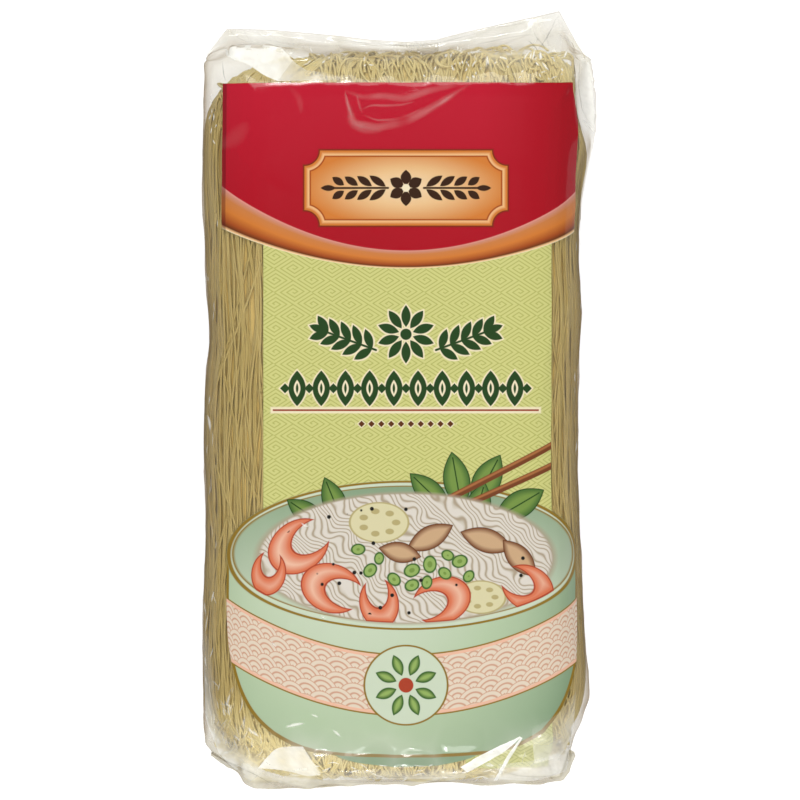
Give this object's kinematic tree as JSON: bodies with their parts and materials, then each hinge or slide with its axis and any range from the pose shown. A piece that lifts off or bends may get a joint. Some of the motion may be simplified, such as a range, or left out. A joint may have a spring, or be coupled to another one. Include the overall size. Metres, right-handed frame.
{
  "type": "bundle of dried rice vermicelli in a sealed clear pack",
  "caption": "Flat folded bundle of thin dried rice noodles, sealed in a clear wrinkled film pack with a plain printed front and loose film ears at one end.",
  "frame": {"origin": "on the surface the pack lies on, under the middle of the pack", "axes": "+Y towards the pack's top end with the loose film ears, +X to the right of its front, +Z out of the front"},
  "size_m": [0.1335, 0.2637, 0.0372],
  "materials": {
    "clear_film": "thin glossy clear wrapping film with creases",
    "printed_film": "the same film printed in opaque red, orange, pale green and celadon",
    "dried_noodle": "dry, slightly glassy rice strands of straw colour"
  },
  "bodies": {
    "root": {"sealed_pack": "clear_film"}
  },
  "joints": []
}
